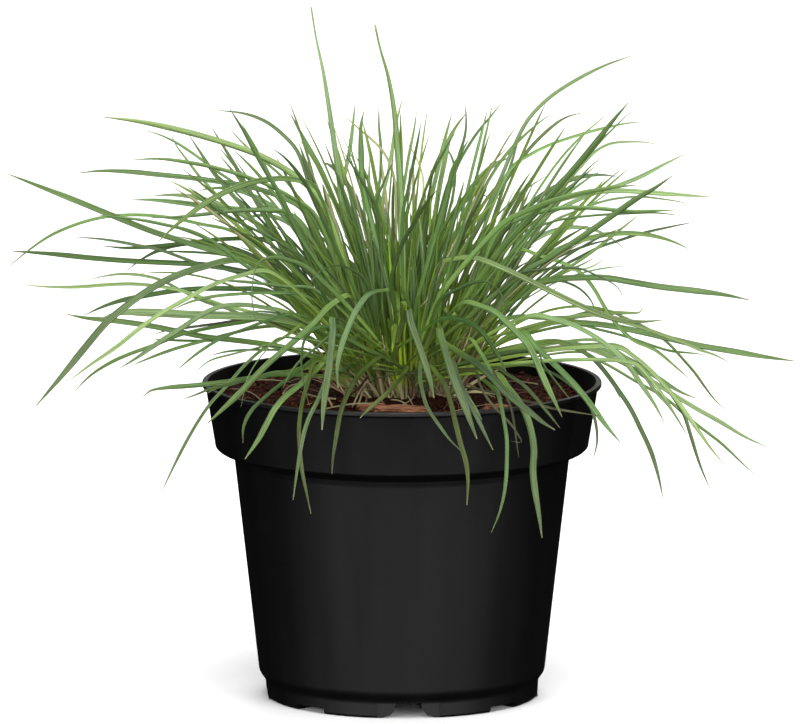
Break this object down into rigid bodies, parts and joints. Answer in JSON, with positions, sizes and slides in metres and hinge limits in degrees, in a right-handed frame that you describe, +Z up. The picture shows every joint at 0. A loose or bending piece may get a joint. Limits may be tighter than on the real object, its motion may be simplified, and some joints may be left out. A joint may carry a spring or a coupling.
{
  "type": "potted ornamental grass",
  "caption": "Potted ornamental grass: a low clump of narrow arching blue-green leaves in a round black plastic nursery pot.",
  "frame": {"origin": "middle of the pot's underside, on the ground, on the pot's axis", "axes": "+Z up along the pot's axis; +X to the viewer's right in the picture, along the clump's widest spread; -Y towards the viewer"},
  "size_m": [0.3765, 0.3478, 0.3291],
  "materials": {
    "pot_plastic": "satin black polypropylene, moulded",
    "soil": "moist crumbly peat",
    "bark": "rough split bark",
    "crown": "satin, finely ribbed stems and leaves",
    "leaf_green": "satin, finely veined living leaf",
    "leaf_light": "satin, finely veined living leaf, pale face",
    "leaf_blue": "satin, finely veined living leaf, blue-grey",
    "leaf_dark": "satin, finely veined living leaf in shade",
    "leaf_yellow": "satin, finely veined living leaf, yellowing",
    "leaf_tan": "dry, matt and papery"
  },
  "bodies": {
    "root": {"pot": "pot_plastic", "soil": "soil", "bark_chip_1": "bark", "bark_chip_2": "bark", "bark_chip_3": "bark", "bark_chip_4": "bark", "crown": "crown", "leaf_01": "leaf_light", "leaf_02": "leaf_light", "leaf_03": "leaf_light", "leaf_04": "leaf_light", "leaf_05": "leaf_blue", "leaf_06": "leaf_green", "leaf_07": "leaf_green", "leaf_08": "leaf_dark", "leaf_09": "leaf_blue", "leaf_10": "leaf_light", "leaf_11": "leaf_dark", "leaf_12": "leaf_light", "leaf_13": "leaf_light", "leaf_14": "leaf_green", "leaf_15": "leaf_blue", "leaf_16": "leaf_green", "leaf_17": "leaf_dark", "leaf_18": "leaf_green", "leaf_19": "leaf_yellow", "leaf_20": "leaf_blue", "leaf_21": "leaf_blue", "leaf_22": "leaf_yellow", "leaf_23": "leaf_blue", "leaf_24": "leaf_yellow", "leaf_25": "leaf_blue", "leaf_26": "leaf_yellow", "leaf_27": "leaf_green", "leaf_28": "leaf_blue", "leaf_29": "leaf_blue", "leaf_30": "leaf_blue", "leaf_31": "leaf_green", "leaf_32": "leaf_green", "leaf_33": "leaf_blue", "leaf_34": "leaf_blue", "leaf_35": "leaf_light", "leaf_36": "leaf_light", "leaf_37": "leaf_light", "leaf_38": "leaf_light", "leaf_39": "leaf_green", "leaf_40": "leaf_green", "leaf_41": "leaf_light", "leaf_42": "leaf_light", "leaf_43": "leaf_green", "leaf_44": "leaf_green", "leaf_45": "leaf_light", "leaf_46": "leaf_light", "leaf_47": "leaf_green", "leaf_48": "leaf_green", "leaf_49": "leaf_light", "dry_leaf_1": "leaf_tan", "dry_leaf_2": "leaf_tan", "dry_leaf_3": "leaf_tan", "dry_leaf_4": "leaf_tan"}
  },
  "joints": []
}
